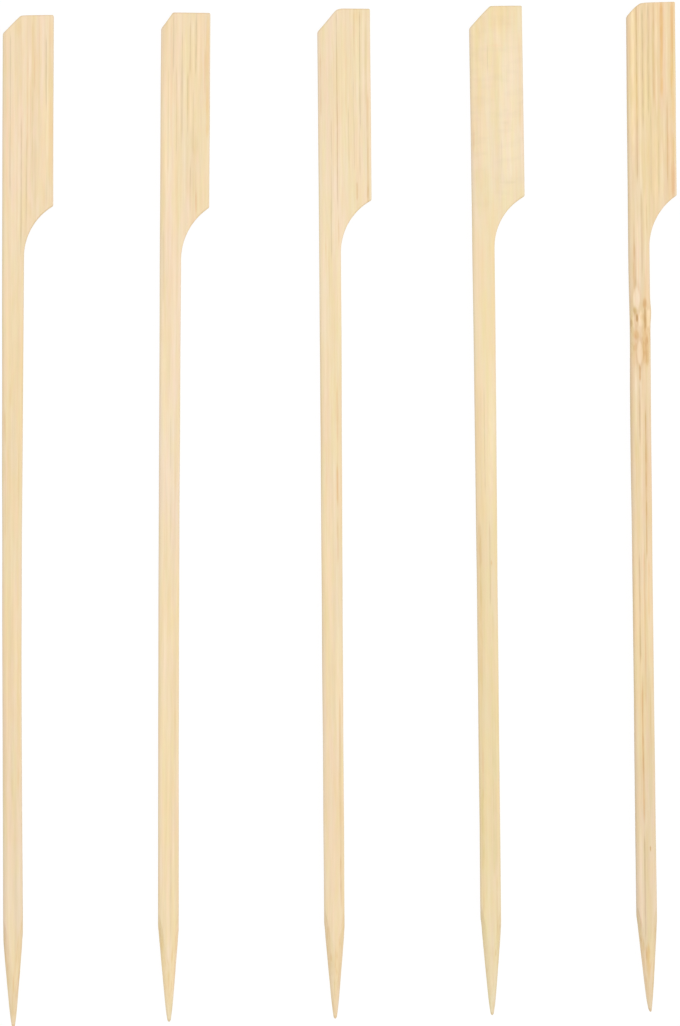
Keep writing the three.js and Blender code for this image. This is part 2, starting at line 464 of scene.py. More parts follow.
@dataclass(frozen=True)
class Streak:
    """A mark along the fibres, in millimetres on the strip."""

    tint: Tint
    middle: float
    half_width: float
    start: float
    end: float
    strength: float
    fade: float = 1.5

    def lay_on(self, graph: Graph, spot: bpy.types.Node, colour: Socket) -> Socket:
        """Lay the mark on a colour.

        Args:
            graph: The material's nodes.
            spot: The material's node that says where a point lies.
            colour: The colour so far.

        Returns:
            The colour with the mark on it.
        """
        sizes = {size.name: getattr(self, size.name) for size in fields(self)[1:]}
        where = {name.lower(): socket for name, socket in spot.outputs.items()}
        node = graph.place(EFFECTS.streak, **where, **sizes)
        return graph.tint(node.outputs["Mask"], colour, self.tint.value)


@dataclass(frozen=True)
class Lens:
    """A pale oval with a brown border, in millimetres on the strip."""

    middle: float
    centre: float
    half_width: float
    half_length: float
    inside: float
    rim: float

    def lay_on(self, graph: Graph, spot: bpy.types.Node, colour: Socket) -> Socket:
        """Lay the oval on a colour.

        Args:
            graph: The material's nodes.
            spot: The material's node that says where a point lies.
            colour: The colour so far.

        Returns:
            The colour with the oval on it.
        """
        sizes = {size.name: getattr(self, size.name) for size in fields(self)[:4]}
        where = {name.lower(): spot.outputs[name] for name in ("Across", "Along")}
        masks = graph.place(EFFECTS.lens, **where, **sizes).outputs
        lined = graph.tint(graph.times(masks["Rim"], self.rim), colour, Tint.BROWN.value)
        return graph.tint(graph.times(masks["Inside"], self.inside), lined, Tint.PALE.value)


@dataclass(frozen=True)
class CulmNode:
    """A node of the culm, where the fibres swell and cross, in millimetres on the strip."""

    FLECK_LUMP = (0.42, 1.5, 0.42)
    FLECK_SEED = 7.3
    FLECK_RANGE = (0.48, 0.66)
    FULL = 0.35

    along: float = 121.0
    half_length: float = 6.5
    push: float = 0.13
    push_length: float = 8.0
    bulge: float = 0.17
    bulge_along: float = 124.6
    bulge_length: float = 1.7
    swelling: float = 0.05
    flecks: float = 0.35
    warmth: float = 0.27

    def shift(self, across: float, along: float) -> float:
        """How far a point is pushed towards the free side.

        Args:
            across: Its share of the strip's width, from the back edge.
            along: Its place along the strip in millimetres.

        Returns:
            The push in millimetres.
        """
        whole = self.push * math.exp(-(((along - self.along) / self.push_length) ** 2))
        corner = self.bulge * math.exp(-(((along - self.bulge_along) / self.bulge_length) ** 2))
        return whole * (1 - across) + corner * across**2

    def swell(self, along: float) -> float:
        """How far the faces stand proud at a place along the strip, in millimetres."""
        return self.swelling * math.exp(-(((along - self.along) / self.half_length) ** 2))

    def lay_on(self, graph: Graph, place: Socket, colour: Socket) -> Socket:
        """Lay the node's brown flecks on a colour, over the whole girth of the strip.

        Args:
            graph: The material's nodes.
            place: The place on the strip.
            colour: The colour so far.

        Returns:
            The colour with the flecks on it.
        """
        _, y, _ = graph.split(place)
        off = graph.math("ABSOLUTE", graph.math("SUBTRACT", y, self.along))
        band = graph.rise(off, self.half_length, self.half_length * self.FULL)
        flecks = graph.rise(graph.noise(place, self.FLECK_LUMP, self.FLECK_SEED), *self.FLECK_RANGE)
        warm = graph.tint(graph.times(band, self.warmth), colour, Tint.ORANGE.value)
        return graph.tint(graph.times(flecks, band, self.flecks), warm, Tint.BROWN.value)


@dataclass(frozen=True)
class Bamboo:
    """The finish of one skewer: planed bamboo, with its own tones and marks.

    Its tones are colours at shares of its length. Each row of its marks is a streak's middle, half width,
    start, end and strength, and its fade where that isn't the usual one. Each row of its faint hues is their
    bands' width and length, a step of the seed, and the two colours between which they pass.
    """

    slot: str
    tones: dict[float, str]
    seed: float
    contrast: float = 0.65
    hue: float = 0.9
    lines: float = 0.3
    crossing: float = 0.0
    # How strong the darker band along the back edge is: partly the bamboo skin's own colour, partly painted
    # shade on the edge that faces away from the lamp.
    skin: float = 0.6
    node: CulmNode | None = None
    lenses: tuple[Lens, ...] = ()
    marks: dict[Tint, Sequence[Sequence[float]]] = field(default_factory=dict)

    DARKER = (0.925, 0.91, 0.85, 1.0)
    LIGHTER = (1.06, 1.075, 1.13, 1.0)
    STRAW = (1.0, 1.0, 0.90, 1.0)
    MILK = (1.0, 1.0, 1.10, 1.0)
    BLUSH = (1.02, 0.98, 1.0, 1.0)
    SAGE = (0.98, 1.02, 1.0, 1.0)
    HUES = ((1.6, 22.0, 3.0, STRAW, MILK), (1.2, 12.0, 6.0, BLUSH, SAGE))
    BANDED = (0.95, 0.95, 0.965, 1.0)
    # The back-edge band's tint and width: partly the skin's greyer colour, partly painted shade on the edge
    # away from the lamp.
    SKIN = (0.86, 0.875, 0.92, 1.0)
    SKIN_WIDTH = 0.9
    BAND_LUMP = (3.8, 1.3, 3.0)
    BAND_RANGE = (0.45, 0.7)
    GRIP_FROM = 0.76
    GRIP_FULL = 0.84
    WANDER = 0.05
    SPECULAR = 0.35

    def dress(self, skewer: "Skewer") -> bpy.types.Material:
        """Make the material for a skewer.

        Args:
            skewer: The skewer that it lies on, which gives the place, the turn and the bow.

        Returns:
            The material.
        """
        material = bpy.data.materials.new(f"bamboo_of_{skewer.name}")
        graph = cleared(material)
        place = self._place(graph, skewer)
        wandering = graph.place(EFFECTS.wander, place=place, reach=self.WANDER, seed=self.seed)
        fibres = wandering.outputs["Place"]
        bundles = graph.place(EFFECTS.bundles, place=fibres).outputs["Mask"]
        ground = graph.add("ShaderNodeAttribute", attribute_name="ground").outputs["Fac"]
        cut = graph.add("ShaderNodeAttribute", attribute_name="cut").outputs["Fac"]
        here = {"place": fibres, "seed": self.seed}

        colour = self._wood(graph, place, fibres, skewer.length / MM)
        colour = graph.tint(graph.times(bundles, self.lines), colour, Tint.RUST.value)
        if self.node:
            colour = self.node.lay_on(graph, fibres, colour)
        spot = graph.place(EFFECTS.spot, **here)
        streaks = [Streak(tint, *row) for tint, rows in self.marks.items() for row in rows]
        for mark in (*streaks, *self.lenses):
            colour = mark.lay_on(graph, spot, colour)
        colour = graph.place(EFFECTS.ground_wood, colour=colour, ground=ground, **here).outputs["Colour"]
        sawn = graph.place(EFFECTS.cut_wood, colour=colour, cut=cut, bundles=bundles, **here)
        touch = graph.place(EFFECTS.touch, bundles=bundles, ground=ground, cut=cut, **here)
        bump = graph.add("ShaderNodeBump")
        bump.inputs["Distance"].default_value = MM
        graph.feed(bump.inputs["Height"], touch.outputs["Height"])

        shader = graph.add("ShaderNodeBsdfPrincipled")
        shader.inputs["Specular IOR Level"].default_value = self.SPECULAR
        graph.feed(shader.inputs["Base Color"], sawn.outputs["Colour"])
        graph.feed(shader.inputs["Roughness"], touch.outputs["Roughness"])
        graph.feed(shader.inputs["Normal"], bump.outputs["Normal"])
        graph.add("ShaderNodeOutputMaterial", shader.outputs["BSDF"])
        return material

    def _place(self, graph: Graph, skewer: "Skewer") -> Socket:
        """The place on the unbent strip in millimetres, from the object's own coordinates.

        Args:
            graph: The material's nodes.
            skewer: The skewer that the place lies on.

        Returns:
            The place's socket.
        """
        into_strip = Matrix.Rotation(-skewer.turn, 4, "Z")
        mapping = graph.add("ShaderNodeMapping")
        mapping.inputs["Scale"].default_value = (1 / MM,) * 3
        mapping.inputs["Rotation"].default_value = (0.0, 0.0, -skewer.turn)
        mapping.inputs["Location"].default_value = -(into_strip @ skewer.corner) / MM
        graph.feed(mapping.inputs["Vector"], graph.add("ShaderNodeTexCoord").outputs["Object"])
        sizes = {"length": skewer.length / MM, "bow": skewer.bow / MM}
        return graph.place(EFFECTS.straighten, place=mapping.outputs["Vector"], **sizes).outputs["Place"]

    def _wood(self, graph: Graph, place: Socket, fibres: Socket, length: float) -> Socket:
        """The plain wood: its tone along the strip, with soft bands of light, dark and faint hues.

        Args:
            graph: The material's nodes.
            place: The place on the strip.
            fibres: The same place, moved along the wandering fibres.
            length: The strip's length in millimetres.

        Returns:
            The colour's socket.
        """
        across, along, _ = graph.split(place)
        ramp = graph.add("ShaderNodeValToRGB")
        stops = ramp.color_ramp.elements
        for index, (share, digits) in enumerate(sorted(self.tones.items())):
            stop = stops[index] if index < len(stops) else stops.new(share)
            stop.position = share
            stop.color = linear(digits)
        graph.feed(ramp.inputs["Fac"], graph.math("DIVIDE", along, length))
        colour = ramp.outputs["Color"]

        tone = graph.place(EFFECTS.fibre_tone, place=fibres, seed=self.seed).outputs["Tone"]
        bands = graph.tint(tone, self.DARKER, self.LIGHTER, way="MIX")
        colour = graph.tint(self.contrast, colour, bands)
        for width, run, seed_step, one, other in self.HUES:
            sizes = {"width": width, "length": run, "seed": self.seed + seed_step}
            between = graph.place(EFFECTS.fibre_tone, place=fibres, **sizes).outputs["Tone"]
            colour = graph.tint(self.hue, colour, graph.tint(between, one, other, way="MIX"))
        # Darken a band along the back edge: partly the skin's own colour, partly painted shade for the edge
        # that faces away from the lamp.
        skin = graph.times(graph.rise(across, self.SKIN_WIDTH, 0.0), self.skin)
        colour = graph.tint(skin, colour, self.SKIN)
        if self.crossing:
            crossed = graph.rise(graph.noise(place, self.BAND_LUMP, self.seed), *self.BAND_RANGE)
            in_grip = graph.rise(along, length * self.GRIP_FROM, length * self.GRIP_FULL)
            colour = graph.tint(graph.times(crossed, in_grip, self.crossing), colour, self.BANDED)
        return colour


@dataclass(frozen=True)
class Cut:
    """How one skewer is cut: each size as a share of the usual one."""

    length: float
    grip_width: float
    grip_length: float
    corner_across: float
    corner_along: float
    notch_radius: float
    neck_width: float
    shaft_width: float


@dataclass(frozen=True)
class Usual:
    """The usual sizes of a skewer, in metres."""

    length: float = 0.1800
    thickness: float = 0.0030
    edge_round: float = 0.00025
    grip_width: float = 0.0091
    grip_length: float = 0.0343
    corner_across: float = 0.0030
    corner_along: float = 0.00345
    notch_radius: float = 0.0107
    neck_width: float = 0.00385
    shaft_width: float = 0.00364
    nose_radius: float = 0.00046
    cone_length: float = 0.0144
    cone_end_radius: float = 0.00165
    run_out_length: float = 0.0062
    run_out_slope: float = 0.05
    run_out_clearance: float = 0.0001
    taper: float = 0.45
    taper_length: float = 0.00125


USUAL = Usual()


@dataclass(frozen=True)
class Fineness:
    """How finely a skewer's surface is divided.

    The steps and the margin are in metres. The finer steps reach below and above a culm node by so many of
    its half lengths.
    """

    columns: int = 34
    levels: int = 10
    round_steps: int = 3
    margin: float = 0.00030
    point_step: float = 0.00025
    node_step: float = 0.00035
    node_below: float = 2.0
    node_above: float = 1.5
    shaft_step: float = 0.0011
    grip_step: float = 0.0009
    corner_step: float = 0.00045
    notch_steps: int = 26


FINENESS = Fineness()


@dataclass
class Skewer:
    """One strip of bamboo, from its blank to the finished skewer.

    The point's axis lies aside by a share of the shaft's width and leans by some degrees. What isn't cut
    true is in millimetres, with the back edge before the free edge: how far the top stands up, how much the
    waist is drawn in and how far the shoulders fall, and then how far the cut corner droops and the tip
    reaches on. The nose is ground at a slant, as a share of the width.
    """

    name: str
    finish: Bamboo
    cut: Cut
    aside: float
    lean: float
    bow_share: float
    turn_degrees: float
    top: tuple[float, float] = (0.0, 0.0)
    waist: tuple[float, float] = (0.0, 0.0)
    shoulders: tuple[float, float] = (0.08, 0.05)
    droop: float = 0.0
    slant: float = 0.0
    tip: float = 0.0
    corner: Vector = field(default_factory=Vector)

    SHARP = math.radians(30)
    CUT_FROM = 0.15
    CUT_FULL = 0.65
    GROUND_FULL = 0.25 * MM
    UNEVENNESS = 0.012
    UNEVEN_RUN = 2.5
    RELIEF = 0.008 * MM
    BROAD_LUMP = (0.9, 24.0, 0.9)
    FINE_LUMP = (0.45, 9.0, 0.45)
    FINE_SHARE = 0.6
    RELIEF_SINK = 1.0
    WAVER = 0.030 * MM
    WAVER_RUN = 14.0
    SIDE_SEEDS = (11.0, 23.0)
    SHOULDER_WIDTH = 0.7 * MM
    TOP_REACH = 2.5 * MM
    DROOP_REACH = 0.55 * MM
    NOSE_REACH = 4 * USUAL.nose_radius

    def __getattr__(self, name: str) -> float:
        """Give any of the usual sizes, cut to this skewer's share.

        Args:
            name: The size's name in Cut.

        Returns:
            The size in metres.
        """
        if name in Cut.__dataclass_fields__:
            return getattr(USUAL, name) * getattr(self.cut, name)
        raise AttributeError(name)

    @property
    def turn(self) -> float:
        """How far it lies turned, anticlockwise, in radians."""
        return math.radians(self.turn_degrees)

    @property
    def bow(self) -> float:
        """How far its middle bends towards the free side, in metres."""
        return self.length * self.bow_share

    @property
    def notch_centre(self) -> tuple[float, float]:
        """The centre of the hollow below the grip."""
        step = self.grip_width - self.neck_width
        reach = math.sqrt(self.notch_radius**2 - (self.notch_radius - step) ** 2)
        return self.neck_width + self.notch_radius, self.length - self.grip_length - reach

    @property
    def run_out_radius(self) -> float:
        """The wheel's radius where it has left the corners."""
        half = self.shaft_width / 2 * (1 + 2 * abs(self.aside))
        return math.hypot(half, USUAL.thickness / 2) + USUAL.run_out_clearance

    def back_edge(self, along: float) -> float:
        """Where the back edge lies across the strip, at a place along it."""
        cut_from = self.length - self.corner_along
        return max(0.0, (along - cut_from) / self.corner_along * self.corner_across)

    def free_edge(self, along: float) -> float:
        """Where the free edge lies across the strip.

        Args:
            along: The place along the strip.

        Returns:
            The edge's distance from the shaft's back edge.
        """
        centre_x, centre_y = self.notch_centre
        if along >= self.length - self.grip_length:
            return self.grip_width
        if along >= centre_y:
            return centre_x - math.sqrt(self.notch_radius**2 - (along - centre_y) ** 2)
        foot = -USUAL.nose_radius
        share = (along - foot) / (centre_y - foot)
        return self.shaft_width + (self.neck_width - self.shaft_width) * share

    @staticmethod
    def slimness(along: float) -> float:
        """What share of its even radius the point keeps, at a place along it: less towards its end."""
        return 1 - USUAL.taper * math.exp(-max(0.0, along) / USUAL.taper_length)

    def wheel_radius(self, along: float) -> float:
        """How much the grinding wheel leaves around the point's axis.

        Args:
            along: The place along the axis.

        Returns:
            The point's radius there, which is endless where the wheel has left the strip.
        """
        if along <= USUAL.nose_radius:
            return USUAL.nose_radius * self.slimness(along)
        if along <= USUAL.cone_length:
            share = (along - USUAL.nose_radius) / (USUAL.cone_length - USUAL.nose_radius)
            even = USUAL.nose_radius + (USUAL.cone_end_radius - USUAL.nose_radius) * share
            return even * self.slimness(along)
        share = (along - USUAL.cone_length) / USUAL.run_out_length
        if share >= 1:
            return math.inf
        even = USUAL.run_out_slope * USUAL.run_out_length
        rise = self.run_out_radius - USUAL.cone_end_radius
        return USUAL.cone_end_radius + even * share + (rise - even) * share**2

    def build(self) -> bpy.types.Object:
        """Model the skewer and lay it where its solid lies.

        Returns:
            The finished piece.
        """
        bm = bmesh.new()
        self._plane(bm)
        self._thicken(bm)
        self._tumble(bm)
        ground = bm.verts.layers.float.new("ground")
        cut = bm.verts.layers.float.new("cut")
        self._mark_cuts(bm, cut)
        self._grind(bm, ground)
        self._bend(bm)
        self._find_corner(bm)
        self._wear(bm, ground)
        turned = Matrix.Translation(self.corner) @ Matrix.Rotation(self.turn, 4, "Z")
        bmesh.ops.transform(bm, matrix=turned, verts=bm.verts[:])
        bmesh.ops.recalc_face_normals(bm, faces=bm.faces[:])
        mesh = bpy.data.meshes.new(self.name)
        bm.to_mesh(mesh)
        bm.free()
        mesh.shade_smooth()
        piece = bpy.data.objects.new(f"bamboo_{self.name}", mesh)
        bpy.context.scene.collection.objects.link(piece)
        mesh.materials.append(self.finish.dress(self))
        return piece

    def _stations(self) -> list[float]:
        """Where the strip is divided along its length.

        Returns:
            The places in metres, from the point to the top of the grip.
        """
        node = self.finish.node
        centre_x, centre_y = self.notch_centre
        wheel_to = USUAL.cone_length + USUAL.run_out_length
        places = [USUAL.nose_radius]
        self._divide(places, wheel_to, FINENESS.point_step)
        if node:
            below = (node.along - FINENESS.node_below * node.half_length) * MM
            above = (node.along + FINENESS.node_above * node.half_length) * MM
            self._divide(places, below, FINENESS.shaft_step)
            self._divide(places, above, FINENESS.node_step)
        self._divide(places, centre_y, FINENESS.shaft_step)

        top = math.acos((centre_x - self.grip_width) / self.notch_radius)
        for i in range(1, FINENESS.notch_steps + 1):
            angle = top * i / FINENESS.notch_steps
            places.append(centre_y + self.notch_radius * math.sin(angle))
        places[-1] = self.length - self.grip_length
        self._divide(places, self.length - self.corner_along, FINENESS.grip_step)
        self._divide(places, self.length - FINENESS.margin, FINENESS.corner_step)
        return [*places, self.length]

    @staticmethod
    def _divide(places: list[float], end: float, step: float) -> None:
        """Add even places from the last one on.

        Args:
            places: The places so far.
            end: Where the new ones end.
            step: How far apart they are, about.
        """
        start = places[-1]
        count = max(1, round((end - start) / step))
        places += [start + (end - start) * i / count for i in range(1, count + 1)]

    def _across(self, column: int, along: float) -> float:
        """Where a column of the grid lies, with a margin at each edge for the tumbled round.

        Args:
            column: The column's number, from the back edge.
            along: The place along the strip.

        Returns:
            The place across the strip.
        """
        left, right = self.back_edge(along), self.free_edge(along)
        near = FINENESS.margin * self._steepness(self.back_edge, along)
        far = FINENESS.margin * self._steepness(self.free_edge, along)
        if column == 0:
            return left
        if column == FINENESS.columns:
            return right
        share = (column - 1) / (FINENESS.columns - 2)
        return left + near + (right - far - left - near) * share

    @staticmethod
    def _steepness(edge: Callable[[float], float], along: float) -> float:
        """How much wider a slanting edge's margin is, measured straight across the strip.

        Args:
            edge: The edge's place across the strip, at any place along it.
            along: The place along the strip.

        Returns:
            The share by which the margin grows, 1 where the edge runs straight along.
        """
        step = 0.05 * MM
        here = edge(along)
        slope = max(abs(edge(along + step) - here), abs(here - edge(along - step))) / step
        return math.hypot(1.0, slope)

    def _plane(self, bm: bmesh.types.BMesh) -> None:
        """Lay out the underside as a grid that follows the strip's outline.

        Args:
            bm: The empty mesh.
        """
        places = self._stations()
        rows = len(places) - 1
        half = 0.5
        bmesh.ops.create_grid(bm, x_segments=FINENESS.columns, y_segments=rows, size=half)
        for vert in bm.verts:
            column = round((vert.co.x + half) * FINENESS.columns)
            along = places[round((vert.co.y + half) * rows)]
            vert.co = Vector((self._across(column, along), along, 0.0))

    def _thicken(self, bm: bmesh.types.BMesh) -> None:
        """Raise the grid to the strip's thickness, and divide the walls into levels.

        Args:
            bm: The mesh of the underside.
        """
        thickness, levels, margin = USUAL.thickness, FINENESS.levels, FINENESS.margin
        raised = bmesh.ops.extrude_face_region(bm, geom=bm.faces[:])["geom"]
        upper = [item for item in raised if isinstance(item, bmesh.types.BMVert)]
        bmesh.ops.translate(bm, verts=upper, vec=(0.0, 0.0, thickness))
        rising = [e for e in bm.edges if abs(e.verts[0].co.z - e.verts[1].co.z) > thickness / 2]
        bmesh.ops.subdivide_edges(bm, edges=rising, cuts=levels - 1)
        inner = (thickness - 2 * margin) / (levels - 2)
        for vert in bm.verts:
            level = round(vert.co.z / thickness * levels)
            if 0 < level < levels:
                vert.co.z = margin + inner * (level - 1)
        bmesh.ops.recalc_face_normals(bm, faces=bm.faces[:])

    def _tumble(self, bm: bmesh.types.BMesh) -> None:
        """Round every sharp edge but those at the end that becomes the point.

        Args:
            bm: The mesh of the blank.
        """
        end = USUAL.nose_radius + FINENESS.point_step / 2
        sharp = [
            edge
            for edge in bm.edges
            if max(vert.co.y for vert in edge.verts) > end and edge.calc_face_angle(0.0) > self.SHARP
        ]
        settings = {"affect": "EDGES", "offset_type": "OFFSET", "profile": 0.5, "material": -1}
        bmesh.ops.bevel(bm, geom=sharp, offset=USUAL.edge_round, segments=FINENESS.round_steps, **settings)

    def _mark_cuts(self, bm: bmesh.types.BMesh, layer: bmesh.types.BMLayerItem) -> None:
        """Note on each point how squarely its face lies across the fibres.

        Args:
            bm: The mesh.
            layer: Where the note is kept.
        """
        bm.normal_update()
        for vert in bm.verts:
            vert[layer] = share_between(abs(vert.normal.y), self.CUT_FROM, self.CUT_FULL)

    def _grind(self, bm: bmesh.types.BMesh, layer: bmesh.types.BMLayerItem) -> None:
        """Grind the end to a round point with a blunt nose, and note what the wheel has touched.

        Args:
            bm: The mesh.
            layer: Where the note is kept.
        """
        foot = Vector((self.shaft_width * (0.5 + self.aside), 0.0, USUAL.thickness / 2))
        lean = math.radians(self.lean)
        axis = Vector((-math.sin(lean), math.cos(lean), 0.0))
        flat_end = USUAL.nose_radius + FINENESS.point_step / 4
        half = Vector((self.shaft_width / 2, 0.0, USUAL.thickness / 2))
        for vert in bm.verts:
            off = vert.co - foot
            along = off.dot(axis)
            out = off - axis * along
            if vert.co.y < flat_end:
                centred = vert.co.x - half.x
                share = min(1.0, max(abs(centred) / half.x, abs(out.z) / half.z))
                angle = share * math.pi / 2
                direction = Vector((centred, 0.0, out.z))
                rise = USUAL.nose_radius * (1 - math.cos(angle))
                radius = USUAL.nose_radius * math.sin(angle) * self.slimness(rise)
                vert.co = foot + axis * rise
                if direction.length > 0:
                    vert.co += direction.normalized() * radius
                vert[layer] = 1.0
                continue
            limit = self.wheel_radius(along)
            if out.length > limit:
                spot = Vector((out.x / MM, along / MM / self.UNEVEN_RUN + self.finish.seed, out.z / MM))
                uneven = 1 + self.UNEVENNESS * noise.noise(spot)
                vert[layer] = share_between(out.length - limit, 0.0, self.GROUND_FULL)
                vert.co = foot + axis * along + out.normalized() * limit * uneven

    def _bend(self, bm: bmesh.types.BMesh) -> None:
        """Bend the strip sideways, as it has dried.

        Args:
            bm: The mesh.
        """
        for vert in bm.verts:
            share = vert.co.y / self.length
            vert.co.x += 4 * self.bow * share * (1 - share)

    def _find_corner(self, bm: bmesh.types.BMesh) -> None:
        """Work out where the strip's own corner lies, from the box of its solid.

        Args:
            bm: The mesh, before it is turned.
        """
        turned = Matrix.Rotation(self.turn, 4, "Z")
        places = [turned @ vert.co for vert in bm.verts]
        low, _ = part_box(self.name)
        self.corner = Vector([low[i] - min(place[i] for place in places) for i in range(3)])

    def _wear(self, bm: bmesh.types.BMesh, ground: bmesh.types.BMLayerItem) -> None:
        """Give the strip its uneven edges, worn corner, askew nose, culm node and raised fibres.

        Args:
            bm: The mesh, before it is turned.
            ground: Where it is kept what the wheel has touched.
        """
        bm.normal_update()
        seed = Vector((self.finish.seed, 0.0, 0.0))
        node = self.finish.node
        moves = []
        for vert in bm.verts:
            x, y, z = (vert.co / MM)[:]
            inward = vert.co.x - self.back_edge(vert.co.y)
            share = share_between(inward, 0.0, self.free_edge(vert.co.y))
            move = vert.normal * self._relief(x, y, z, seed)
            move.z += self._shoulder(vert.co)
            if node:
                move.x += node.shift(share, y) * MM
                move.z += max(0.0, vert.normal.z) * node.swell(y) * MM
            free = 1 - vert[ground]
            for side, weight in zip(self.SIDE_SEEDS, (1 - share, share)):
                spot = Vector((side, y / self.WAVER_RUN, 0.0)) + seed
                move.x += self.WAVER * noise.noise(spot) * weight * free
            move += self._askew(vert.co, share)
            moves.append(move)
        for vert, move in zip(bm.verts, moves):
            vert.co += move

    def _relief(self, x: float, y: float, z: float, seed: Vector) -> float:
        """How far the fibres stand proud.

        Args:
            x: The place across the strip in millimetres.
            y: The place along it.
            z: The height above its underside.
            seed: What picks this strip's pattern.

        Returns:
            The height of the relief in metres.
        """
        broad, fine = (
            noise.noise(Vector((x / across, y / along, z / through)) + seed)
            for across, along, through in (self.BROAD_LUMP, self.FINE_LUMP)
        )
        return self.RELIEF * (broad + self.FINE_SHARE * fine - self.RELIEF_SINK)

    def _shoulder(self, place: Vector) -> float:
        """How far the faces fall away towards the two long edges.

        Args:
            place: The point on the strip.

        Returns:
            The move up or down in metres.
        """
        beside = (place.x - self.back_edge(place.y), self.free_edge(place.y) - place.x)
        fall = 0.0
        for distance, drop in zip(beside, self.shoulders):
            near = 1 - share_between(distance, 0.0, self.SHOULDER_WIDTH)
            fall += drop * MM * near**2
        return fall * (1 - place.z / (USUAL.thickness / 2))

    def _askew(self, place: Vector, share: float) -> Vector:
        """How far a point moves where the strip isn't cut true: at its waist, top, corner and nose.

        Args:
            place: The point on the strip.
            share: Its share of the strip's width, from the back edge.

        Returns:
            The move in metres.
        """
        worn = Vector((0.0, 0.0, 0.0))
        below_top = self.length - place.y
        back, free = self.waist
        narrowing = math.sin(math.pi * share_between(place.y, 0.0, self.notch_centre[1])) ** 2
        worn.x += (back * (1 - share) - free * share) * MM * narrowing
        if below_top < self.TOP_REACH:
            fading = (1 - below_top / self.TOP_REACH) ** 2
            worn.y += (self.top[0] * (1 - share) + self.top[1] * share) * MM * fading
        if below_top < self.corner_along:
            beside = (place.x - self.corner_across) / self.DROOP_REACH
            fading = (1 - below_top / self.corner_along) ** 2
            worn.y -= self.droop * MM * math.exp(-(beside**2)) * fading
        if place.y < self.NOSE_REACH:
            fading = 1 - place.y / self.NOSE_REACH
            centre = self.shaft_width * (0.5 + self.aside)
            worn.y += (self.slant * (centre - place.x) - self.tip * MM) * fading
        return worn


PLAIN_ONE = Bamboo(
    slot="bamboo_plain",
    tones={
        0.0: "ebd6b4", 0.07: "ebd3aa", 0.12: "ebd3af", 0.385: "ecd3a9", 0.50: "edd5af",
        0.67: "efd5a6", 0.78: "efd7ae", 0.84: "f0d7b0",
    },
    seed=1.7,
    marks={
        Tint.ROSE: ((0.92, 0.28, 146, 176.4, 0.6),),
        Tint.GREY: (
            (1.4, 0.17, 149, 177, 0.6), (3.36, 0.17, 138, 161.5, 0.95), (4.34, 0.17, 144, 158, 0.7),
            (7.81, 0.16, 164, 176.5, 0.85), (7.95, 0.16, 146.5, 155.2, 0.3),
            (1.69, 0.16, 40.5, 49.5, 0.35),
        ),
        Tint.PALE: (
            (2.81, 0.2, 140, 158, 0.35), (3.88, 0.2, 143, 161.2, 0.5), (4.83, 0.2, 144, 173.8, 0.4),
            (7.24, 0.2, 166.8, 179.5, 0.35), (1, 0.25, 16, 49.5, 0.25), (2.86, 0.22, 124.5, 145, 0.35),
            # The broad pale streak at 2.9 mm along the shaft is painted light: the side of the shaft towards
            # the lamp is made lighter.
            (2.9, 0.9, 26, 108, 0.35, 5), (7.8, 0.9, 150, 168, 0.55, 3),
        ),
        Tint.RUST: (
            (4.46, 0.2, 156, 173, 0.4), (5.67, 0.2, 167, 173, 0.4), (1.52, 0.28, 110.5, 114.4, 0.4),
            (1.74, 0.16, 5.9, 9.5, 0.9, 0.8),
        ),
        Tint.OLIVE: (
            (5.35, 0.2, 148, 179, 0.7), (5.9, 0.55, 147.3, 158, 0.35),
            (4.9, 0.45, 144.5, 147.2, 0.45, 0.8), (5.1, 0.8, 150, 168, 0.45, 3),
        ),
        Tint.ORANGE: (
            (8.52, 0.4, 150, 180, 0.35), (2.9, 0.7, 176.8, 179.2, 0.2, 0.8), (2.8, 0.3, 40, 108, 0.2, 3),
            (2.76, 0.3, 43.3, 46.5, 0.4),
        ),
        Tint.BROWN: (
            (0.55, 0.2, 103.8, 110, 0.35), (0.55, 0.18, 87.2, 101.5, 0.3),
            (1.56, 0.12, 2.4, 5.9, 0.6, 0.8),
        ),
    },
)
PLAIN_TWO = Bamboo(
    slot="bamboo_plain",
    tones={
        0.0: "ecd9bc", 0.05: "f0dab3", 0.08: "efd7ac", 0.28: "efd7ae", 0.39: "f0d8ac",
        0.50: "f1d9b6", 0.70: "f1d9b5", 0.84: "f0d7af",
    },
    seed=8.3,
    marks={
        Tint.GREY: (
            (1.4, 0.16, 151.5, 170, 0.45), (2.27, 0.16, 169.2, 179.4, 0.7), (2.85, 0.17, 154.5, 170, 0.5),
            (3.81, 0.16, 157, 176, 0.75), (4.83, 0.17, 158.5, 169, 0.75), (5.36, 0.16, 144, 153, 0.55),
            (5.81, 0.16, 154.5, 166, 0.45), (6.26, 0.17, 169, 179.4, 0.9), (2.1, 0.16, 84.8, 95, 0.45),
            (2.06, 0.16, 98.2, 108, 0.45), (2.26, 0.16, 15.5, 31, 0.4),
        ),
        Tint.ROSE: ((1.9, 0.2, 155.5, 178, 0.8),),
        Tint.PALE: (
            (3.32, 0.2, 158, 169.8, 0.5), (4.36, 0.2, 146, 175.5, 0.5), (5.34, 0.18, 159.2, 165.2, 0.5),
            (5.78, 0.2, 168.8, 178.5, 0.6), (1.2, 0.9, 148, 170, 0.65, 4), (6.74, 0.18, 168.5, 178, 0.45),
            (2.72, 0.22, 18, 36.8, 0.35), (1.1, 0.25, 14, 76, 0.25), (2.9, 0.8, 92, 112, 0.3, 4),
        ),
        Tint.SHADE: (
            (5.23, 0.17, 168.8, 178, 0.6), (6.34, 0.17, 146, 152, 0.4), (0.6, 0.18, 128, 141, 0.35),
        ),
        Tint.OLIVE: ((6.26, 0.7, 154.5, 157.7, 0.42), (5.4, 1.2, 147, 160, 0.45, 2.5)),
        Tint.RUST: (
            (6.4, 0.24, 143.8, 148.2, 0.75), (7.9, 0.22, 165.7, 173.5, 0.5),
            (1.88, 0.15, 6.1, 8.9, 0.7, 0.8),
        ),
        Tint.ORANGE: ((8.35, 0.35, 157.8, 179.4, 0.65),),
    },
)
